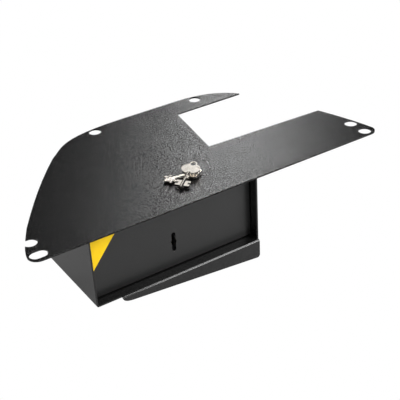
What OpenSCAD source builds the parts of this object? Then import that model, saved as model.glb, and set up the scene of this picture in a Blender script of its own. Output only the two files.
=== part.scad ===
// Drawer safe hung under a steel mounting plate, with a two-way lever lock and two keys.
// The origin is on the top face of the plate, over the middle of the housing.
// +X runs to the right along the front, +Y to the back, +Z up.

/* [Mounting plate] */
// Overall length of the plate
plate_l = 496; // [460:2:560]
// Overall depth of the plate
plate_d = 247; // [235:1:290]
// Thickness of the plate
plate_t = 2; // [1.5:0.5:4]
// How far the plate reaches past the housing on the left
plate_left = 67; // [60:1:90]
// Radius of the front left corner
left_corner_r = 13; // [9:0.5:15]
// Radius of the front right corner
right_corner_r = 12; // [8:0.5:15]
// Diameter of the round fixing holes
hole_d = 17; // [10:0.5:17.5]
// Distance between the two rear fixing holes
rear_pitch = 161; // [120:1:180]
// Rear left fixing hole from the left end of the plate
rear_hole_in = 199; // [190:1:230]
// Rear fixing holes from the rear edge
rear_hole_edge = 12; // [11:0.5:25]
// Distance between the two fixing holes of the right end
end_pitch = 27.5; // [22:0.5:34]
// Right fixing holes from the right end of the plate
end_hole_in = 14.5; // [14.5:0.5:25]
// Front fixing holes from the front edge
front_hole_edge = 11; // [10.5:0.5:20]
// Width of the slotted corner hole
slot_w = 16; // [10:0.5:18]
// Length of the slotted corner hole
slot_l = 22; // [20:0.5:26]
// Middle of the slotted hole from the left end of the plate
slot_in = 13.2; // [13.2:0.2:20]
// Open edge hole from the left end of the plate
open_hole_in = 15; // [13:0.5:17]
// Open edge hole behind the slotted hole
open_hole_up = 28; // [24:0.5:36]

/* [Housing] */
// Width of the housing
housing_w = 231; // [221:1:240]
// Depth of the housing
housing_d = 132; // [128:1:150]
// Height of the housing below the plate
housing_h = 89.5; // [86:0.5:110]
// Sheet thickness of the housing
shell_t = 2; // [1.5:0.5:3]
// Inner radius of the bends
bend_r = 1; // [0.5:0.25:2]
// Width of the welding flanges under the plate
top_flange = 8; // [5:0.5:9]
// How far the drawer front sits behind the front edge
recess = 13; // [8:0.5:20]
// Left end of the front lip from the left side of the housing
lip_start = 33; // [20:1:80]
// Length of the rounded nose of the lip
lip_nose = 14; // [8:1:20]
// Drop of the lip behind its nose
lip_low = 7.5; // [5:0.5:12]
// Drop of the lip at its right end
lip_drop = 24; // [15:0.5:35]
// Radius of the lower right corner of the lip
lip_corner_r = 4; // [2:0.5:8]

/* [Drawer] */
// Gap around the drawer front
front_gap = 1; // [0.5:0.25:2]
// Thickness of the drawer front
front_t = 3; // [2:0.5:4]
// Space between the tub and each side wall, which holds the runners
side_gap = 10; // [10:0.5:13]
// Sheet thickness of the tub
tub_t = 1.2; // [1:0.1:2]
// Gap under the tub
tub_lift = 3; // [2:0.5:6]
// Gap between the tub and the underside of the plate
tub_top = 8; // [6:0.5:12]
// Gap behind the tub
tub_back = 2; // [1.5:0.5:4]
// Thickness of the rubber mat
mat_t = 2; // [1:0.5:4]
// Travel of the drawer
travel = 85; // [60:1:88]

/* [Runners] */
// Height of the side rails
rail_h = 18; // [16:0.5:22]
// Depth of the side rails
rail_d = 8; // [7.5:0.25:8]
// Sheet thickness of the side rails
rail_t = 1.2; // [1:0.1:1.5]
// Height of the lips that hold the runner in
rail_lip = 2.8; // [2:0.2:4]
// Gap between the plate and the side rails
rail_top = 12; // [11:0.5:13]
// Running gap between runner and rail
rail_gap = 0.3; // [0.1:0.05:0.5]
// Diameter of the stop studs
stud_d = 4; // [3:0.5:5]

/* [Lock] */
// Height of the keyhole
keyhole_h = 26.4; // [24:0.2:28]
// Width of the keyhole
keyhole_w = 5.4; // [4.6:0.2:6]
// Diameter of the round middle of the keyhole
keyhole_stem_d = 7.6; // [7:0.2:9]
// Middle of the keyhole under the top face of the plate
key_axis_drop = 54; // [50:0.5:60]
// Width of the lock case
case_w = 70; // [66:1:84]
// Height of the lock case
case_h = 54; // [52:1:60]
// Depth of the lock case
case_d = 18; // [18:0.5:22]
// Sheet thickness of the lock case
case_t = 1.5; // [1:0.25:2]
// Width of the fixing ears of the case
ear_w = 9; // [8:0.5:12]
// Diameter of the turning key guide
guide_d = 31; // [30:0.5:33]
// Running gap round the key guide
guide_gap = 0.05; // [0.02:0.01:0.1]
// Throw of the bolts
throw = 7.5; // [5:0.5:7.5]
// Diameter of the bolt rods
rod_d = 8; // [6:0.5:9]
// Running gap round the bolt rods
rod_gap = 0.05; // [0.02:0.01:0.1]
// Height of the bolt rods over and under the key axis
rod_rise = 14; // [13:0.5:16]
// Number of levers in each pack
levers_n = 4; // [2:1:4]
// Thickness of a lever
lever_t = 0.9; // [0.6:0.1:1]
// Lift of the levers, in degrees
lever_lift = 3; // [1:0.5:3]

/* [Keys] */
// Overall length of a key
key_l = 50; // [44:1:56]
// Width of the oval bow
bow_w = 24; // [20:1:28]
// Length of the oval bow
bow_l = 18; // [15:1:20]
// Thickness of the bow
bow_t = 2.2; // [1.5:0.1:3]
// Diameter of the stem
stem_d = 5.2; // [4.4:0.2:6]
// Diameter of the hollow in the stem
stem_bore = 3.2; // [2:0.2:3.6]
// Length of the bits along the stem
bit_l = 9; // [7:1:12]
// Thickness of the bits
bit_t = 2.4; // [1.5:0.1:3]
// Overall width across both bits
bit_span = 18; // [15:1:21]
// Middle diameter of the key ring
ring_d = 20; // [18:1:22]
// Wire thickness of the key ring
ring_wire = 1; // [0.8:0.1:1.6]

/* [Hidden] */
$fn = 64;
cut = 1;
black = [0.13, 0.13, 0.14];
zinc = [0.72, 0.73, 0.74];
nickel = [0.83, 0.82, 0.78];
brass = [0.78, 0.63, 0.32];
rubber = [0.08, 0.08, 0.08];

// Places of the housing
left_x = -housing_w / 2;
right_x = housing_w / 2;
front_y = -housing_d / 2;
back_y = housing_d / 2;
under_z = -plate_t;
bottom_z = under_z - housing_h;
floor_z = bottom_z + shell_t;
wall_x = right_x - shell_t;
bend_out = bend_r + shell_t;
lip_nose_share = 0.9;

// Places of the drawer
panel_y = front_y + recess;
panel_back = panel_y + front_t;
panel_gap_z = 1.5 * front_gap;
tub_x = wall_x - side_gap;
tub_in = tub_x - tub_t;
tub_low = floor_z + tub_lift;
tub_high = under_z - tub_top;
tub_rear = back_y - shell_t - tub_back;
tub_flange = 10;
mat_gap = 0.5;
end_room = 1;
bumper_d = 12;
bumper_room = 0.3;

// Places of the rails
rail_set = 3;
rail_y = panel_back + rail_set;
rail_rear = back_y - shell_t - end_room;
rail_z = under_z - rail_top - rail_h / 2;
runner_rear = tub_rear - end_room;
runner_neck = rail_h - 2 * rail_t - 2 * rail_lip - 2 * rail_gap;
runner_head = rail_h - 2 * rail_t - 2 * rail_gap;
stud_y = rail_y + 2 * stud_d;
stud_h = 1.6;
stud_room = 0.5;
groove_w = stud_d + 2 * stud_room;

// Places of the lock
key_z = -key_axis_drop;
case_back = panel_back + case_d;
cover_t = 1.5;
rod_depth = 8;
rod_y = panel_back + rod_depth;
bolt_t = 4;
bolt_h = 11;
works_in = 10;
bolt_l = case_w - 2 * works_in;
bolt_y = rod_y - bolt_t / 2;
bolt_end = bolt_l / 2 - throw;
talon_w = 11;
bit_room = 1;
rod_proud = 0.5;
rod_end = tub_x + rod_proud;
guide_rim = 2;
guide_flange_d = guide_d + 2 * guide_rim;
guide_room = 0.3;
guide_back = bolt_y - guide_room;
guide_front = panel_back + guide_gap;
lever_gap = 0.3;
lever_space = 0.35;
lever_pitch = lever_t + lever_space;
lever_y = rod_y + rod_d / 2 + lever_gap;
lever_x = -bolt_l / 2;
lever_h = 13;
lever_l = bolt_l;
post_d = 4;
post_gap = 0.05;
stump_share = 0.2;
stump_x = stump_share * bolt_l;
stump_d = 3;
gate_room = 0.5;
leaf_t = 0.5;
leaf_l = 9;
pillar_d = 6;
pillar_in = 0.9;
pillar_x = case_w / 2 - pillar_d / 2 - pillar_in;
pillar_z = case_h / 2 - pillar_d / 2 - pillar_in;
screw_d = 3;
screw_head_d = 5.6;
screw_head_h = 1.8;
screw_l = 5;
screw_room = 0.15;
thread_room = 0.05;
ear_hole_in = 4.5;
ear_hole_z = case_h / 2 - ear_hole_in;
ear_room = 0.2;
weld_stud_d = 4;
weld_stud_l = 7;
nut_h = 3.2;
nut_flats = 7;
pin_gap = 0.2;
pin_reach = 1;
pin_foot = 2;
bush_flange = 1;
bush_wall = 1.5;
works_t = 1;
works_room = 0.4;
works_y = case_back + cover_t + screw_head_h + works_room;
strike_t = 2.8;
strike_room = 0.5;
strike_leg = side_gap - 2 * strike_room;
strike_h = 16;
strike_foot = 22;

// Shapes shared by several pieces
function point_on(a, b, c, d, t) =
    pow(1 - t, 3) * a + 3 * pow(1 - t, 2) * t * b + 3 * (1 - t) * t * t * c + pow(t, 3) * d;
function curve(p, n) = [for (i = [0 : n - 1]) point_on(p[0], p[1], p[2], p[3], i / n)];
function arc(c, r, a0, a1, n) =
    [for (i = [0 : n]) c + r * [cos(a0 + (a1 - a0) * i / n), sin(a0 + (a1 - a0) * i / n)]];

module along_y(y0, y1) {
    translate([0, y1, 0]) rotate([90, 0, 0]) linear_extrude(y1 - y0) children();
}

module along_x(x0, x1) {
    translate([x0, 0, 0]) rotate([90, 0, 90]) linear_extrude(x1 - x0) children();
}

module block(x0, x1, y0, y1, z0, z1) {
    translate([x0, y0, z0]) cube([x1 - x0, y1 - y0, z1 - z0]);
}

module rod_along_x(x0, x1, y, z, d) {
    translate([x0, y, z]) rotate([0, 90, 0]) cylinder(h = x1 - x0, d = d);
}

module rod_along_y(x, y0, y1, z, d) {
    translate([x, y1, z]) rotate([90, 0, 0]) cylinder(h = y1 - y0, d = d);
}

module both_sides() {
    children();
    mirror([1, 0, 0]) children();
}

// Mounting plate: each curve is four points in shares of the plate's length and depth
left_edge_shares = [[0.001, 0.097], [0.0242, 0.186], [0.048, 0.276]];
long_edge_shares = [[0.048, 0.276], [0.1065, 0.465], [0.169, 0.646], [0.2413, 0.815]];
rear_left_shares = [[0.2413, 0.815], [0.291, 0.903], [0.304, 1], [0.5, 1]];
rear_right_shares = [[0.6815, 1], [0.76, 1], [0.8165, 0.947], [0.85, 0.854]];
right_end_shares = [[0.9546, 0.39], [0.9718, 0.287], [0.99, 0.17]];
notch_rear_share = [0.636, 0.854];
notch_front_share = [0.598, 0.417];
plate_x = left_x - plate_left;
plate_right = plate_x + plate_l;

function at_plate(s) = [plate_x + s[0] * plate_l, front_y + s[1] * plate_d];
function at_plates(shares) = [for (s = shares) at_plate(s)];
function plate_curve(shares, n) = curve(at_plates(shares), n);

module plate_outline() {
    left_start = [plate_x, front_y + left_corner_r];
    right_stop = [plate_right, front_y + right_corner_r];
    polygon(concat(
        arc(left_start + [left_corner_r, 0], left_corner_r, -90, -170, 8),
        curve(concat([left_start], at_plates(left_edge_shares)), 6),
        plate_curve(long_edge_shares, 6),
        plate_curve(rear_left_shares, 12),
        [at_plate(rear_left_shares[3])],
        plate_curve(rear_right_shares, 9),
        [at_plate(rear_right_shares[3]), at_plate(notch_rear_share), at_plate(notch_front_share)],
        curve(concat(at_plates(right_end_shares), [right_stop]), 6),
        arc(right_stop - [right_corner_r, 0], right_corner_r, 0, -90, 8)
    ));
}

module plate_hole(x, y) {
    translate([x, y, under_z - cut]) cylinder(h = plate_t + 2 * cut, d = hole_d);
}

module slotted_hole() {
    shift = (slot_l - slot_w) / 2;
    translate([plate_x + slot_in, front_y + front_hole_edge + shift / 2, under_z - cut]) {
        for (side = [-1, 1]) {
            translate([side * shift, 0, 0]) cylinder(h = plate_t + 2 * cut, d = slot_w);
        }
        translate([-shift, -slot_w / 2, 0]) cube([2 * shift, slot_w, plate_t + 2 * cut]);
    }
}

module mounting_plate() {
    color(black) difference() {
        translate([0, 0, under_z]) linear_extrude(plate_t) plate_outline();
        plate_hole(plate_x + rear_hole_in, front_y + plate_d - rear_hole_edge);
        plate_hole(plate_x + rear_hole_in + rear_pitch, front_y + plate_d - rear_hole_edge);
        plate_hole(plate_right - end_hole_in, front_y + front_hole_edge);
        plate_hole(plate_right - end_hole_in, front_y + front_hole_edge + end_pitch);
        plate_hole(plate_x + open_hole_in, front_y + front_hole_edge + open_hole_up);
        slotted_hole();
    }
}

// Housing: one sheet folded into a trough with welding flanges and a front lip
module trough_outline(inset, r) {
    w = housing_w - 2 * inset;
    low = bottom_z + inset;
    high = under_z + inset;
    translate([-w / 2 + r, low]) square([w - 2 * r, high - low]);
    translate([-w / 2, low + r]) square([w, high - low - r]);
    for (side = [-1, 1]) {
        translate([side * (w / 2 - r), low + r]) circle(r = r);
    }
}

module lip_outline() {
    x0 = left_x + lip_start;
    nose = [[x0, bottom_z], [x0, bottom_z - lip_low / 2],
        [x0 + lip_nose / 3, bottom_z - lip_low * lip_nose_share], [x0 + lip_nose, bottom_z - lip_low]];
    corner = [right_x - lip_corner_r, bottom_z - lip_drop + lip_corner_r];
    polygon(concat(
        [[x0, floor_z]],
        curve(nose, 8),
        [nose[3]],
        arc(corner, lip_corner_r, -90, 0, 6),
        [[right_x, floor_z]]
    ));
}

module lip_section() {
    translate([front_y, bottom_z - bend_r]) {
        difference() {
            circle(r = bend_out);
            circle(r = bend_r);
            translate([0, -bend_out - cut]) square(2 * bend_out + 2 * cut);
            translate([-bend_out - cut, -bend_out - cut]) square([bend_out + 2 * cut, bend_out + cut]);
        }
        translate([-bend_out, -lip_drop]) square([shell_t, lip_drop]);
    }
}

module front_lip() {
    intersection() {
        along_x(left_x, right_x) lip_section();
        along_y(front_y - bend_out - cut, front_y + cut) lip_outline();
    }
}

module housing_shell() {
    color(black) {
        difference() {
            along_y(front_y, back_y) trough_outline(0, bend_out);
            along_y(front_y - cut, back_y + cut) trough_outline(shell_t, bend_r);
        }
        both_sides() {
            block(wall_x - top_flange, wall_x, panel_back + front_gap, back_y - 2 * shell_t,
                under_z - shell_t, under_z);
        }
        front_lip();
    }
}

module housing_back() {
    color(black) intersection() {
        along_y(back_y - shell_t, back_y) trough_outline(shell_t, bend_r);
        block(left_x, right_x, back_y - shell_t, back_y, bottom_z, under_z);
    }
}

// Rails welded inside the housing, with a stop stud in each
module rail() {
    x0 = wall_x - rail_d;
    z0 = rail_z - rail_h / 2;
    z1 = rail_z + rail_h / 2;
    block(wall_x - rail_t, wall_x, rail_y, rail_rear, z0, z1);
    for (z = [z0, z1 - rail_t]) {
        block(x0, wall_x, rail_y, rail_rear, z, z + rail_t);
    }
    block(x0, x0 + rail_t, rail_y, rail_rear, z0, z0 + rail_t + rail_lip);
    block(x0, x0 + rail_t, rail_y, rail_rear, z1 - rail_t - rail_lip, z1);
    rod_along_x(wall_x - rail_t - stud_h, wall_x - rail_t / 2, stud_y, rail_z, stud_d);
}

module left_rail() {
    color(zinc) mirror([1, 0, 0]) rail();
}

module right_rail() {
    color(zinc) rail();
}

module strike(z) {
    y1 = rod_y - rod_d / 2 - strike_room;
    block(wall_x - strike_leg, wall_x, y1 - strike_t, y1, z - strike_h / 2, z + strike_h / 2);
    block(wall_x - strike_t / 2, wall_x, y1, y1 + strike_foot, z - strike_h / 2, z + strike_h / 2);
}

module left_strike() {
    color(zinc) mirror([1, 0, 0]) strike(key_z - rod_rise);
}

module right_strike() {
    color(zinc) strike(key_z + rod_rise);
}

module rear_bumpers() {
    y1 = back_y - shell_t;
    color(rubber) both_sides() {
        rod_along_y(tub_in - bumper_d, tub_rear + bumper_room, y1, tub_low + bumper_d, bumper_d);
    }
}

// Drawer
module drawer_tub() {
    color(black) {
        difference() {
            block(-tub_x, tub_x, panel_back, tub_rear, tub_low, tub_high);
            block(-tub_in, tub_in, panel_back - cut, tub_rear - tub_t, tub_low + tub_t,
                tub_high + cut);
            rod_hole();
            half_turn() rod_hole();
        }
        both_sides() {
            block(tub_in - tub_flange, tub_in, panel_back, panel_back + tub_t, tub_low + tub_t,
                tub_high);
        }
    }
}

module rod_hole() {
    rod_along_x(tub_in - cut, tub_x + cut, rod_y, key_z + rod_rise, rod_d + 2 * bush_wall);
}

module drawer_front() {
    color(black) difference() {
        block(-wall_x + front_gap, wall_x - front_gap, panel_y, panel_back,
            floor_z + panel_gap_z, under_z - panel_gap_z);
        along_y(panel_y - cut, panel_back + cut) keyhole(0);
    }
}

module keyhole(gap) {
    w = keyhole_w + 2 * gap;
    translate([0, key_z]) {
        translate([-w / 2, -keyhole_h / 2 + w / 2]) square([w, keyhole_h - w]);
        for (side = [-1, 1]) {
            translate([0, side * (keyhole_h - w) / 2]) circle(d = w);
        }
        circle(d = keyhole_stem_d + 2 * gap);
    }
}

module drawer_mat() {
    color(rubber) block(-tub_in + mat_gap, tub_in - mat_gap, works_y + works_t + mat_gap,
        tub_rear - tub_t - mat_gap, tub_low + tub_t, tub_low + tub_t + mat_t);
}

module runner() {
    x0 = wall_x - rail_d + rail_t + rail_gap;
    x1 = wall_x - rail_t - rail_gap;
    groove_end = stud_y + travel + stud_d / 2 + rail_gap;
    difference() {
        union() {
            block(tub_x, x0, rail_y, runner_rear, rail_z - runner_neck / 2, rail_z + runner_neck / 2);
            block(x0, x1, rail_y, runner_rear, rail_z - runner_head / 2, rail_z + runner_head / 2);
        }
        block(x1 - stud_h, x1 + cut, rail_y - cut, groove_end, rail_z - groove_w / 2,
            rail_z + groove_w / 2);
    }
}

module left_runner() {
    color(zinc) mirror([1, 0, 0]) runner();
}

module right_runner() {
    color(zinc) runner();
}

module works_cover() {
    low = tub_low + tub_t;
    high = tub_high - tub_t;
    color(black) {
        block(-tub_in, tub_in, works_y, works_y + works_t, low, high);
        block(-tub_in + tub_flange, tub_in - tub_flange, panel_back, works_y + works_t,
            high - works_t, high);
    }
}

// Lock
module lock_case() {
    color(zinc) difference() {
        union() {
            block(-case_w / 2 - ear_w, case_w / 2 + ear_w, panel_back, panel_back + case_t,
                key_z - case_h / 2, key_z + case_h / 2);
            difference() {
                block(-case_w / 2, case_w / 2, panel_back, case_back,
                    key_z - case_h / 2, key_z + case_h / 2);
                block(-case_w / 2 + case_t, case_w / 2 - case_t, panel_back + case_t,
                    case_back + cut, key_z - case_h / 2 + case_t, key_z + case_h / 2 - case_t);
            }
            for (sx = [-1, 1], sz = [-1, 1]) {
                rod_along_y(sx * pillar_x, panel_back, case_back, key_z + sz * pillar_z, pillar_d);
            }
        }
        rod_along_y(0, panel_back - cut, panel_back + case_t + cut, key_z, guide_d + 2 * guide_gap);
        rod_along_x(case_w / 2 - case_t - cut, case_w / 2 + cut, rod_y, key_z + rod_rise,
            rod_d + 2 * rod_gap);
        rod_along_x(-case_w / 2 - cut, -case_w / 2 + case_t + cut, rod_y, key_z - rod_rise,
            rod_d + 2 * rod_gap);
        for (sx = [-1, 1], sz = [-1, 1]) {
            rod_along_y(sx * (case_w / 2 + ear_w / 2), panel_back - cut, panel_back + case_t + cut,
                key_z + sz * ear_hole_z, weld_stud_d + 2 * ear_room);
            rod_along_y(sx * pillar_x, case_back - screw_l - end_room, case_back + cut,
                key_z + sz * pillar_z, screw_d + 2 * thread_room);
        }
    }
}

module lock_cover() {
    color(zinc) difference() {
        block(-case_w / 2, case_w / 2, case_back, case_back + cover_t,
            key_z - case_h / 2, key_z + case_h / 2);
        for (sx = [-1, 1], sz = [-1, 1]) {
            rod_along_y(sx * pillar_x, case_back - cut, case_back + cover_t + cut,
                key_z + sz * pillar_z, screw_d + 2 * screw_room);
        }
    }
}

module cover_screws() {
    color(zinc) for (sx = [-1, 1], sz = [-1, 1]) {
        difference() {
            union() {
                rod_along_y(sx * pillar_x, case_back - screw_l, case_back + cover_t,
                    key_z + sz * pillar_z, screw_d);
                rod_along_y(sx * pillar_x, case_back + cover_t, case_back + cover_t + screw_head_h,
                    key_z + sz * pillar_z, screw_head_d);
            }
            translate([sx * pillar_x, case_back + cover_t + screw_head_h / 2, key_z + sz * pillar_z])
                rotate([-90, 30, 0]) cylinder(h = screw_head_h, d = screw_d, $fn = 6);
        }
    }
}

module at_ears() {
    for (sx = [-1, 1], sz = [-1, 1]) {
        translate([sx * (case_w / 2 + ear_w / 2), panel_back, key_z + sz * ear_hole_z])
            rotate([-90, 0, 0]) children();
    }
}

module lock_studs() {
    color(zinc) at_ears() cylinder(h = weld_stud_l, d = weld_stud_d);
}

module lock_nuts() {
    color(zinc) at_ears() translate([0, 0, case_t]) difference() {
        cylinder(h = nut_h, d = nut_flats / cos(30), $fn = 6);
        translate([0, 0, -cut]) cylinder(h = nut_h + 2 * cut, d = weld_stud_d + 2 * thread_room);
    }
}

module bush() {
    outer = rod_d + 2 * bush_wall;
    z = key_z + rod_rise;
    difference() {
        union() {
            rod_along_x(tub_in, tub_x, rod_y, z, outer - 2 * rod_gap);
            rod_along_x(tub_in - bush_flange, tub_in, rod_y, z, outer + 2 * bush_flange);
        }
        rod_along_x(tub_in - bush_flange - cut, tub_x + cut, rod_y, z, rod_d + 2 * rod_gap);
    }
}

module bolt_bushes() {
    color(brass) {
        bush();
        half_turn() bush();
    }
}

module drill_pin() {
    color(zinc) {
        rod_along_y(0, guide_back - pin_reach, case_back, key_z, stem_bore - 2 * pin_gap);
        rod_along_y(0, case_back - pin_foot, case_back, key_z, 2 * stem_bore);
    }
}

module key_guide() {
    color(brass) difference() {
        union() {
            rod_along_y(0, guide_front, panel_back + case_t + guide_gap, key_z, guide_d);
            rod_along_y(0, panel_back + case_t + guide_gap, guide_back, key_z, guide_flange_d);
        }
        along_y(guide_front - cut, guide_back + cut) keyhole(0);
    }
}

// The upper bolt shoots to the right; the lower bolt is the same piece turned half round
module half_turn() {
    translate([0, 0, 2 * key_z]) rotate([0, 180, 0]) children();
}

module bolt() {
    z0 = key_z + rod_rise - bolt_h / 2;
    reach = bit_span / 2 + bit_room;
    color(zinc) {
        difference() {
            block(-bolt_l / 2, bolt_end, bolt_y, bolt_y + bolt_t, z0, z0 + bolt_h);
            block(-throw / 2 - talon_w / 2, -throw / 2 + talon_w / 2, bolt_y - cut,
                bolt_y + bolt_t + cut, z0 - cut, key_z + reach);
        }
        rod_along_y(stump_x, bolt_y + bolt_t, case_back - gate_room, key_z + rod_rise, stump_d);
    }
}

module right_bolt() {
    bolt();
}

module left_bolt() {
    half_turn() bolt();
}

module bolt_rod() {
    color(zinc) rod_along_x(bolt_end, rod_end, rod_y, key_z + rod_rise, rod_d);
}

module right_bolt_rod() {
    bolt_rod();
}

module left_bolt_rod() {
    half_turn() bolt_rod();
}

module lever_post() {
    color(zinc) {
        rod_along_y(lever_x, lever_y - lever_gap, case_back, key_z + rod_rise, post_d);
        rod_along_y(lever_x, lever_y - 2 * lever_gap, lever_y - lever_gap, key_z + rod_rise,
            post_d + 2 * lever_t);
    }
}

module lever_posts() {
    lever_post();
    half_turn() lever_post();
}

// A lever turns on its post, and the bolt's stump runs in its gate
module lever(y0) {
    z = key_z + rod_rise;
    far = stump_x + throw - lever_x;
    drop = far * sin(lever_lift);
    difference() {
        union() {
            rod_along_y(lever_x, y0, y0 + lever_t, z, lever_h);
            block(lever_x, lever_x + lever_l, y0, y0 + lever_t, z - lever_h / 2, z + lever_h / 2);
        }
        rod_along_y(lever_x, y0 - cut, y0 + lever_t + cut, z, post_d + 2 * post_gap);
        block(stump_x - stump_d / 2 - gate_room, stump_x + throw + stump_d / 2 + gate_room,
            y0 - cut, y0 + lever_t + cut, z - stump_d / 2 - gate_room - drop,
            z + stump_d / 2 + gate_room);
    }
}

module lever_pack() {
    color(brass) for (i = [0 : levers_n - 1]) {
        lever(lever_y + i * lever_pitch);
    }
}

module upper_levers() {
    lever_pack();
}

module lower_levers() {
    half_turn() lever_pack();
}

// Leaf springs, from the case's pillars to the backs of the levers
module leaf_spring() {
    x0 = -pillar_x + pillar_d / 2;
    z0 = key_z + pillar_z;
    z1 = key_z + rod_rise + lever_h / 2 + post_d * sin(lever_lift) + lever_gap;
    color(zinc) along_y(lever_y, lever_y + levers_n * lever_pitch) {
        polygon([[x0, z0], [x0 + leaf_l, z1], [x0 + leaf_l, z1 + leaf_t], [x0, z0 + leaf_t]]);
    }
}

module lever_springs() {
    leaf_spring();
    half_turn() leaf_spring();
}

// Keys and ring, lying on the plate, placed from its front edge. A key is drawn along +X
rest_gap = 0.03;
collar_d = 5.8;
collar_l = 2;
stem_hollow_l = 14;
bit_in = 3.5;
eye_d = 6.6;
eye_rim = 1.4;
bow_root = 1.5;
bit_shares = [1, 0.55, 1];
key_1_tip = [19, 58];
key_1_turn = -7;
key_1_tilt = 1;
key_2_tip = [26.2, 32.5];
key_2_turn = 36.4;
key_2_tilt = 10.1;
ring_at = [67.57, 48.32, 10.43];
ring_turn = -59.1;
ring_tilt = 79.9;

module bow_outline() {
    polygon([for (a = [0 : 10 : 350]) [bow_l / 2 * cos(a), bow_w / 2 * sin(a)]]);
}

module bit_blade() {
    root = stem_d / 4;
    step = bit_l / len(bit_shares);
    for (i = [0 : len(bit_shares) - 1]) {
        block(bit_in + i * step, bit_in + (i + 1) * step, root,
            stem_d / 2 + bit_shares[i] * (bit_span - stem_d) / 2, -bit_t / 2, bit_t / 2);
    }
}

module key() {
    lug_r = eye_d / 2 + eye_rim;
    lug_x = key_l - lug_r;
    bow_x = lug_x - bow_l / 2;
    stem_l = bow_x - bow_l / 2;
    color(nickel) difference() {
        union() {
            rotate([0, 90, 0]) cylinder(h = stem_l + bow_root, d = stem_d);
            translate([stem_l - 2 * collar_l, 0, 0]) rotate([0, 90, 0])
                cylinder(h = collar_l, d = collar_d);
            bit_blade();
            rotate([180, 0, 0]) bit_blade();
            translate([bow_x, 0, -bow_t / 2]) linear_extrude(bow_t) bow_outline();
            translate([lug_x, 0, -bow_t / 2]) cylinder(h = bow_t, r = lug_r);
        }
        translate([-cut, 0, 0]) rotate([0, 90, 0]) cylinder(h = stem_hollow_l + cut, d = stem_bore);
        translate([lug_x, 0, -bow_t / 2 - cut]) cylinder(h = bow_t + 2 * cut, d = eye_d);
    }
}

module laid_key(tip, turn, tilt) {
    translate([tip[0], front_y + tip[1], stem_d / 2 * cos(tilt) + rest_gap])
        rotate([0, -tilt, turn]) children();
}

module key_1() {
    laid_key(key_1_tip, key_1_turn, key_1_tilt) key();
}

module key_2() {
    laid_key(key_2_tip, key_2_turn, key_2_tilt) key();
}

module key_ring() {
    color(nickel) translate([ring_at[0], front_y + ring_at[1], ring_at[2]])
        rotate([ring_tilt, 0, ring_turn]) rotate_extrude() translate([ring_d / 2, 0])
            circle(d = ring_wire);
}

mounting_plate();
housing_shell();
housing_back();
left_rail();
right_rail();
left_strike();
right_strike();
rear_bumpers();
drawer_tub();
drawer_front();
drawer_mat();
left_runner();
right_runner();
works_cover();
lock_case();
lock_cover();
cover_screws();
lock_studs();
lock_nuts();
bolt_bushes();
drill_pin();
lever_posts();
upper_levers();
lower_levers();
lever_springs();
key_guide();
right_bolt();
right_bolt_rod();
left_bolt();
left_bolt_rod();
key_1();
key_2();
key_ring();
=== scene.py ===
"""The drawer safe under its mounting plate, dressed for the picture."""
from math import cos, pi, radians, sin

import bmesh
import bpy
from mathutils import Matrix, Vector


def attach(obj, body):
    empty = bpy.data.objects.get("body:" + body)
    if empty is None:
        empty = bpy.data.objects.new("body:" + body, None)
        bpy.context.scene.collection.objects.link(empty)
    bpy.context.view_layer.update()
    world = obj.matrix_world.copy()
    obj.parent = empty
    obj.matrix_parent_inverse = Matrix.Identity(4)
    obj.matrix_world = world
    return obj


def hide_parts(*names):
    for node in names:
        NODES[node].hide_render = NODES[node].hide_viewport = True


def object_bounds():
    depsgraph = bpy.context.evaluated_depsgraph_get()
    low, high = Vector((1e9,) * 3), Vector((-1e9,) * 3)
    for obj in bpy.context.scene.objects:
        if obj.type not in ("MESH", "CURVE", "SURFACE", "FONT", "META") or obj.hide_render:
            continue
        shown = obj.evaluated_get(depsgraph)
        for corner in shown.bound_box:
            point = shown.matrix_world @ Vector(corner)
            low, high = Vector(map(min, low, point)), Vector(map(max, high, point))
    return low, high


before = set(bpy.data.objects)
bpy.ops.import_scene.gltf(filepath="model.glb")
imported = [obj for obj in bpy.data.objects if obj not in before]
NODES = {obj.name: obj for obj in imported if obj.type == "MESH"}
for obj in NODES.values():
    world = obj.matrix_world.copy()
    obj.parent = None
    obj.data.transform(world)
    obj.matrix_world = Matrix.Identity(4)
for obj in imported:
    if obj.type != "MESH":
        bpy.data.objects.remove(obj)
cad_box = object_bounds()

MM = 0.001


# Materials
class Wire:
    """One output of a shader node. Adding to it or multiplying it adds a Math node."""

    def __init__(self, recipe, socket):
        self.recipe, self.socket = recipe, socket

    def maths(self, operation, other):
        return self.recipe.node("Math", {"operation": operation}, {0: self, 1: other})

    def __add__(self, other):
        return self.maths("ADD", other)

    def __mul__(self, other):
        return self.maths("MULTIPLY", other)

    __radd__ = __add__
    __rmul__ = __mul__


class Recipe:
    """The nodes of a material or of the world, added one by one."""

    def __init__(self, owner):
        owner.use_nodes = True
        self.tree = owner.node_tree

    def node(self, kind, settings=None, sockets=None, output=0):
        """Adds a node: its settings first, then the values or links of its sockets."""
        made = self.tree.nodes.new("ShaderNode" + kind)
        for key, value in (settings or {}).items():
            setattr(made, key, value)
        for key, value in (sockets or {}).items():
            self.feed(made.inputs[key], value)
        return Wire(self, made.outputs[output])

    def feed(self, socket, value):
        if isinstance(value, Wire):
            self.tree.links.new(value.socket, socket)
        else:
            socket.default_value = value


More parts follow.
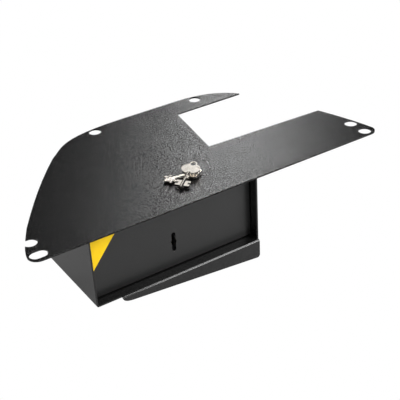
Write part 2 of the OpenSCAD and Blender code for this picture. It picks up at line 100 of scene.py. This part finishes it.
class Finish(Recipe):
    """A material with one glossy shader, whose sockets are set by name."""

    def __init__(self, name, **sockets):
        self.material = bpy.data.materials.new(name)
        super().__init__(self.material)
        self.shader = self.tree.nodes["Principled BSDF"]
        self.place = self.node("TexCoord", output="Object")
        self.set(**sockets)

    def set(self, **sockets):
        for socket, value in sockets.items():
            self.feed(self.shader.inputs[socket.replace("_", " ")], value)

    def noise(self, scale, detail, roughness, where=None):
        return self.node("TexNoise", {}, {"Vector": where or self.place, "Scale": scale,
                                          "Detail": detail, "Roughness": roughness})

    def stretched(self, x, y, z):
        return self.node("Mapping", {}, {"Vector": self.place, "Scale": (x, y, z)})

    def step(self, value, low, high, first=0, last=1):
        return self.node("MapRange", {}, {"Value": value, "From Min": low, "From Max": high,
                                          "To Min": first, "To Max": last})

    def blend(self, factor, a, b):
        return self.node("Mix", {"data_type": "RGBA"}, {0: factor, 6: a, 7: b}, output=2)

    def bump(self, height, depth):
        return self.node("Bump", {}, {"Height": height, "Distance": depth})


def grey(value):
    return (value, value, value, 1)


WHITE = grey(1)
COAT_DARKS = grey(0.004)
COAT_LIGHTS = grey(0.0128)


def powder_coat(name, roughness, pebble, depth, swing, pit_shade=0.0):
    """Black powder coat: pebbles that catch the light one by one, pebble tops a little lighter than
    the pits, slight clouds, and painted shade in the pits, whose gloss Metallic dims.
    """
    finish = Finish(name)
    pebbles = finish.noise(scale=pebble, detail=2, roughness=0.6)
    fine = finish.noise(scale=pebble * 2.3, detail=1, roughness=0.5)
    cloud = finish.noise(scale=22, detail=3, roughness=0.55)
    tops = finish.step(pebbles, low=0.35, high=0.65)
    finish.set(
        Base_Color=finish.blend(cloud * 0.6 + tops * 0.4, COAT_DARKS, COAT_LIGHTS),
        Roughness=finish.step(tops, 0, 1, first=roughness + swing, last=roughness - swing),
        # Metallic in the pits is painted shade: it dims their gloss as the pebbles' own shadow
        # would.
        Metallic=finish.step(tops, 0, 1, first=pit_shade, last=0),
        Normal=finish.bump(pebbles + 0.3 * fine, depth),
    )
    return finish.material


def plated(name, bright, dark, roughness, streak, metallic=1.0):
    """Plated or bare metal: fine drawn streaks, cloudy patches and a little handling wear."""
    finish = Finish(name, Metallic=metallic)
    lines = finish.noise(scale=1, detail=3, roughness=0.6, where=finish.stretched(*streak))
    cloud = finish.noise(scale=60, detail=3, roughness=0.6)
    wear = finish.noise(scale=420, detail=2, roughness=0.6)
    patches = finish.step(cloud + 0.3 * lines, low=0.35, high=0.95)
    handled = cloud * 0.6 + wear * 0.4
    finish.set(
        Base_Color=finish.blend(patches, bright, dark),
        Roughness=finish.step(handled, 0.3, 0.7, first=roughness - 0.07, last=roughness + 0.1),
        Normal=finish.bump(lines * 0.7 + wear * 0.3, 0.03 * MM),
    )
    return finish.material


def matt_rubber():
    """Matt rubber with a fine leathery grain."""
    finish = Finish("matt_rubber")
    grain = finish.noise(scale=900, detail=3, roughness=0.6)
    finish.set(
        Base_Color=finish.blend(grain, grey(0.012), grey(0.026)),
        Roughness=finish.step(grain, 0.3, 0.7, first=0.85, last=0.7),
        Normal=finish.bump(grain, 0.2 * MM),
    )
    return finish.material


def yellow_film():
    """Yellow film: a soft gloss, faint clouds in its colour and the ripple of the coat below."""
    finish = Finish("yellow_film", Specular_IOR_Level=0.25)
    cloud = finish.noise(scale=90, detail=3, roughness=0.55)
    ripple = finish.noise(scale=500, detail=2, roughness=0.5)
    finish.set(
        Base_Color=finish.blend(cloud, (0.9, 0.56, 0.003, 1), (0.97, 0.65, 0.006, 1)),
        Roughness=finish.step(ripple, 0.3, 0.7, first=0.5, last=0.6),
        Normal=finish.bump(ripple, 0.04 * MM),
    )
    return finish.material


# Streaks to a metre along x, y and z
ROLLED = (90, 2400, 90)
POLISHED = (500, 500, 90)
EVEN = (500, 500, 500)
TURNED = (900, 120, 120)
DRAWN = (1800, 120, 120)

# Each coat's pit shade, where it is given, is painted shade in the pebbles' pits.
coat = powder_coat("textured_black_coat", roughness=0.175, pebble=435, depth=0.48 * MM,
                   swing=0.09, pit_shade=0.9)
housing_coat = powder_coat("housing_black_coat", roughness=0.17, pebble=700, depth=0.02 * MM,
                           swing=0.02, pit_shade=0.35)
drawer_coat = powder_coat("drawer_black_coat", roughness=0.36, pebble=700, depth=0.01 * MM,
                          swing=0.02)
zinc = plated("bright_zinc", (0.62, 0.63, 0.65, 1), (0.5, 0.51, 0.53, 1), 0.32, ROLLED)
dull_zinc = plated("dull_zinc_case", (0.1, 0.1, 0.105, 1), (0.06, 0.06, 0.063, 1), 0.5, ROLLED)
nickel = plated("nickel_plate", (0.9, 0.86, 0.79, 1), (0.66, 0.62, 0.56, 1), 0.18, POLISHED)
ring_wire = plated("hardened_wire", (0.5, 0.47, 0.5, 1), (0.34, 0.32, 0.34, 1), 0.24, EVEN)
# The key guide, a brass part, is made near-black: painted shade that darkens the keyhole it is seen
# through.
keyhole_shade_black = plated("keyhole_shade_steel", (0.03, 0.03, 0.032, 1), (0.015, 0.015, 0.016, 1), 0.45,
                   TURNED, metallic=0.5)
brass = plated("plain_brass", (0.72, 0.53, 0.25, 1), (0.5, 0.36, 0.16, 1), 0.34, DRAWN)
rubber = matt_rubber()
sticker_film = yellow_film()


# Pieces that copy the frame's own: points closer than MERGED are joined, edges flatter than FLAT
# are dropped and edges sharper than SHARP are eased
MERGED = 0.001 * MM
FLAT = radians(0.5)
SHARP = radians(28)


def keep(name, bm, material, smooth=20):
    """Makes a piece of a finished bmesh, smooth wherever its faces meet at a small angle."""
    mesh = bpy.data.meshes.new(name)
    bm.to_mesh(mesh)
    bm.free()
    mesh.materials.append(material)
    mesh.shade_smooth()
    mesh.set_sharp_from_angle(angle=radians(smooth))
    piece = bpy.data.objects.new(name, mesh)
    bpy.context.scene.collection.objects.link(piece)
    flats = piece.modifiers.new("true_flats", "WEIGHTED_NORMAL")
    flats.mode, flats.weight, flats.keep_sharp = "FACE_AREA", 100, True
    return piece


def eased(node, body, slot, material, width, segments=2):
    """A copy of a CAD node with its sharp edges eased by a width in mm, which stands for it."""
    bm = bmesh.new()
    bm.from_mesh(NODES[node].data)
    bmesh.ops.remove_doubles(bm, verts=bm.verts, dist=MERGED)
    bmesh.ops.dissolve_limit(bm, angle_limit=FLAT, verts=bm.verts, edges=bm.edges)
    sharp = [e for e in bm.edges if len(e.link_faces) == 2 and e.calc_face_angle() > SHARP]
    bmesh.ops.bevel(bm, geom=sharp, offset=width * MM, segments=segments, profile=0.5,
                    affect="EDGES", clamp_overlap=True, material=-1)
    piece = keep(node + "_eased", bm, material)
    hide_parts(node)
    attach(piece, body)


# Node, body, slot, finish, width of the eased edge in mm and, where it isn't two, its steps
EASED = [
    ("mounting_plate", "housing", "powder_coat", coat, 0.3),
    ("housing_shell", "housing", "powder_coat", housing_coat, 0.4, 3),
    ("housing_back", "housing", "powder_coat", housing_coat, 0.4, 3),
    ("left_rail", "housing", "zinc_steel", zinc, 0.2),
    ("right_rail", "housing", "zinc_steel", zinc, 0.2),
    ("left_strike", "housing", "zinc_steel", zinc, 0.3),
    ("right_strike", "housing", "zinc_steel", zinc, 0.3),
    ("rear_bumpers", "housing", "rubber", rubber, 0.8),
    ("drawer_tub", "drawer", "drawer_coat", drawer_coat, 0.25),
    ("drawer_front", "drawer", "drawer_coat", drawer_coat, 0.9, 4),
    ("drawer_mat", "drawer", "rubber", rubber, 0.4),
    ("left_runner", "drawer", "zinc_steel", zinc, 0.3),
    ("right_runner", "drawer", "zinc_steel", zinc, 0.3),
    ("works_cover", "drawer", "drawer_coat", drawer_coat, 0.2),
    ("lock_case", "drawer", "zinc_steel", dull_zinc, 0.25),
    ("lock_cover", "drawer", "zinc_steel", dull_zinc, 0.25),
    ("bolt_bushes", "drawer", "brass_works", brass, 0.2),
    ("drill_pin", "drawer", "zinc_steel", zinc, 0.3),
    # The key guide takes the near-black steel as painted shade in the keyhole.
    ("key_guide", "key_follower", "brass_works", keyhole_shade_black, 0.25),
    ("right_bolt_rod", "upper_bolt", "zinc_steel", zinc, 0.8),
    ("left_bolt_rod", "lower_bolt", "zinc_steel", zinc, 0.8),
    ("key_1", "keys", "nickel", nickel, 0.7, 4),
    ("key_2", "keys", "nickel", nickel, 0.7, 4),
]
for row in EASED:
    eased(*row)

# Pieces that the frame shows as they are
PLAIN = {
    zinc: ["cover_screws", "lock_studs", "lock_nuts", "lever_posts", "lever_springs",
           "right_bolt", "left_bolt"],
    brass: ["upper_levers", "lower_levers"],
}
for material, nodes in PLAIN.items():
    for node in nodes:
        NODES[node].data.materials.clear()
        NODES[node].data.materials.append(material)


# The rings on the keys' stems and the split ring, in mm and degrees, but for RING_GAP: the angle
# left open between the split ring's two ends, in radians
KEY = {"stem": 5.2, "ring_places": (18.6, 20.6), "ring_bead": 0.5, "ring_steps": 40}
KEY_LIES = {
    "key_1_rings": {"tip": (19, -8, 2.63), "turn": -7, "tilt": 1},
    "key_2_rings": {"tip": (26.2, -33.5, 2.59), "turn": 36.4, "tilt": 10.1},
}
RING = {"across": 20, "wire": 0.48, "pitch": 0.25, "at": (67.57, -17.68, 10.43), "turn": -59.1,
        "tilt": 79.9, "steps": 144}
RING_GAP = 0.12
WIRE_SIDES = 10


def wire_round(bm, radius, at, filled=False):
    """A small round that stands across y, as the start of a ring."""
    verts = bmesh.ops.create_circle(bm, cap_ends=filled, segments=WIRE_SIDES, radius=radius)["verts"]
    bmesh.ops.rotate(bm, verts=verts, cent=(0, 0, 0), matrix=Matrix.Rotation(pi / 2, 3, "X"))
    bmesh.ops.translate(bm, verts=verts, vec=at)
    return verts


def laid(tip, turn, tilt):
    """Where a key lies: x along its stem from the tip, z up out of its bow."""
    return (Matrix.Translation(Vector(tip) * MM) @ Matrix.Rotation(radians(turn), 4, "Z")
            @ Matrix.Rotation(radians(-tilt), 4, "Y"))


def stem_rings(name, place):
    """The turned rings that sit on a key's stem in front of its collar."""
    bm = bmesh.new()
    for along in KEY["ring_places"]:
        bead = wire_round(bm, KEY["ring_bead"] * MM, (along * MM, 0, KEY["stem"] / 2 * MM))
        edges = [e for e in bm.edges if e.verts[0] in bead and e.verts[1] in bead]
        bmesh.ops.spin(bm, geom=bead + edges, cent=(along * MM, 0, 0), axis=(1, 0, 0),
                       angle=2 * pi, steps=KEY["ring_steps"], use_merge=True)
    bmesh.ops.recalc_face_normals(bm, faces=bm.faces)
    bmesh.ops.transform(bm, matrix=place, verts=bm.verts)
    piece = keep(name, bm, nickel, smooth=60)
    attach(piece, "keys")


def split_ring():
    """The key ring: one wire wound twice round, with its two cut ends."""
    bm = bmesh.new()
    pitch = RING["pitch"] * MM
    wire_round(bm, RING["wire"] / 2 * MM, (RING["across"] / 2 * MM, 0, -pitch), filled=True)
    bmesh.ops.spin(bm, geom=bm.faces[:] + bm.edges[:] + bm.verts[:], cent=(0, 0, 0), axis=(0, 0, 1),
                   dvec=(0, 0, 2 * pitch / RING["steps"]), angle=4 * pi - RING_GAP,
                   steps=RING["steps"])
    bmesh.ops.recalc_face_normals(bm, faces=bm.faces)
    place = (Matrix.Translation(Vector(RING["at"]) * MM)
             @ Matrix.Rotation(radians(RING["turn"]), 4, "Z")
             @ Matrix.Rotation(radians(RING["tilt"]), 4, "X"))
    bmesh.ops.transform(bm, matrix=place, verts=bm.verts)
    piece = keep("split_ring", bm, ring_wire, smooth=50)
    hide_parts("key_ring")
    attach(piece, "keys")


for name, lie in KEY_LIES.items():
    stem_rings(name, laid(**lie))
split_ring()


# The sticker, in mm: its place in the front panel's upper left corner, then its size
STICKER = {"from_side": 0.3, "from_top": 0.2, "across": 41.5, "down": 51.5, "film": 0.12,
           "corner": 0.6}


def corner_sticker():
    """The three-cornered sticker on the front panel, its corners a little rounded."""
    panel = [vertex.co for vertex in NODES["drawer_front"].data.vertices]
    left = min(point.x for point in panel) + STICKER["from_side"] * MM
    face = min(point.y for point in panel)
    top = max(point.z for point in panel) - STICKER["from_top"] * MM
    corners = [(left, top), (left + STICKER["across"] * MM, top), (left, top - STICKER["down"] * MM)]
    bm = bmesh.new()
    bm.faces.new([bm.verts.new((x, face, z)) for x, z in corners])
    bmesh.ops.bevel(bm, geom=bm.verts[:], offset=STICKER["corner"] * MM, segments=3, profile=0.5,
                    affect="VERTICES", clamp_overlap=True, material=-1)
    film = bmesh.ops.extrude_face_region(bm, geom=bm.faces[:])
    bmesh.ops.translate(bm, verts=[v for v in film["geom"] if isinstance(v, bmesh.types.BMVert)],
                        vec=(0, -STICKER["film"] * MM, 0))
    bmesh.ops.recalc_face_normals(bm, faces=bm.faces)
    piece = keep("corner_sticker", bm, sticker_film)
    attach(piece, "drawer")


corner_sticker()


# The camera's place in metres, its turns in degrees, its lens and film in mm
CAMERA = {"at": (-0.4463, -0.8428, 0.5518), "pitch": 58.738, "roll": 2.8613, "yaw": -33.3702,
          "lens": 81.76, "film": 36, "nearest": 0.05, "farthest": 50}


def camera():
    lens = bpy.data.cameras.new("camera")
    lens.sensor_width, lens.lens = CAMERA["film"], CAMERA["lens"]
    lens.clip_start, lens.clip_end = CAMERA["nearest"], CAMERA["farthest"]
    seen = bpy.data.objects.new("camera", lens)
    seen.location = CAMERA["at"]
    seen.rotation_euler = [radians(CAMERA[turn]) for turn in ("pitch", "roll", "yaw")]
    bpy.context.scene.collection.objects.link(seen)
    bpy.context.scene.camera = seen


# The lamps, in metres and degrees: name, azimuth, elevation, distance, width, height, strength
# and, for the window that lights the plate's sheen, the place that it faces
MIDDLE = (0.05, 0.02, -0.03)
SHEEN = (0.11, -0.04, 0)
LAMPS = [
    ("tall_window", 34, 31.5, 3.0, 0.22, 1.2, 17, SHEEN),
    ("far_window", 18, 25, 3.0, 0.5, 0.5, 0.5),
    ("front_right_box", 135, 47, 2.2, 1.0, 0.8, 12),
    ("low_front_box", 152, 12, 2.2, 0.7, 0.7, 17),
    ("front_box", 200, 45, 2.2, 1.0, 0.8, 3),
    ("top_box", 0, 85, 2.0, 1.6, 1.6, 0.8),
    ("high_window", 31, 52, 2.4, 1.1, 0.7, 1.0),
    ("left_box", 275, 25, 2.2, 0.8, 0.8, 1.2),
]


def lamp(name, azimuth, elevation, distance, width, height, strength, target=MIDDLE):
    """A soft box that faces the target; azimuth 0 is behind the object and 90 on its right."""
    light = bpy.data.lights.new(name, "AREA")
    light.shape, light.size, light.size_y = "RECTANGLE", width, height
    light.energy = strength * width * height * pi
    holder = bpy.data.objects.new(name, light)
    turn, rise = radians(azimuth), radians(elevation)
    way = Vector((sin(turn) * cos(rise), cos(turn) * cos(rise), sin(rise)))
    holder.location = Vector(target) + distance * way
    holder.rotation_euler = way.to_track_quat("Z", "Y").to_euler()
    holder.visible_camera = False
    bpy.context.scene.collection.objects.link(holder)


# The surround: the world's light on the object, how strongly gloss mirrors the floor, and, in
# metres, the floor's gap below the object and its half width
AMBIENT = 0.03
MIRRORED = 0.25
FLOOR_GAP = 1 * MM
FLOOR_REACH = 4


def surround():
    """A world and a floor that are white to the camera, the floor faintly mirrored in gloss."""
    world = bpy.data.worlds.new("surround")
    bpy.context.scene.world = world
    sky = Recipe(world)
    background = sky.tree.nodes["Background"]
    to_camera = sky.node("LightPath", output="Is Camera Ray")
    sky.feed(background.inputs["Color"], WHITE)
    sky.feed(background.inputs["Strength"], AMBIENT + (1 - AMBIENT) * to_camera)
    bm = bmesh.new()
    floor_place = Matrix.Translation((0, 0, cad_box[0][2] - FLOOR_GAP))
    bmesh.ops.create_grid(bm, x_segments=1, y_segments=1, size=FLOOR_REACH, matrix=floor_place)
    paper = Finish("white_paper", Roughness=0.9, Base_Color=grey(0.8))
    to_camera = paper.node("LightPath", output="Is Camera Ray")
    to_gloss = paper.node("LightPath", output="Is Glossy Ray")
    lit = Wire(paper, paper.shader.outputs[0])
    glow = paper.node("Emission", {}, {"Color": WHITE, "Strength": 1.0})
    mixed = paper.node("MixShader", {}, {0: to_camera + MIRRORED * to_gloss, 1: lit, 2: glow})
    paper.feed(paper.tree.nodes["Material Output"].inputs["Surface"], mixed)
    keep("floor", bm, paper.material)


camera()
surround()
for row in LAMPS:
    lamp(*row)
bpy.context.scene.view_settings.view_transform = "Standard"
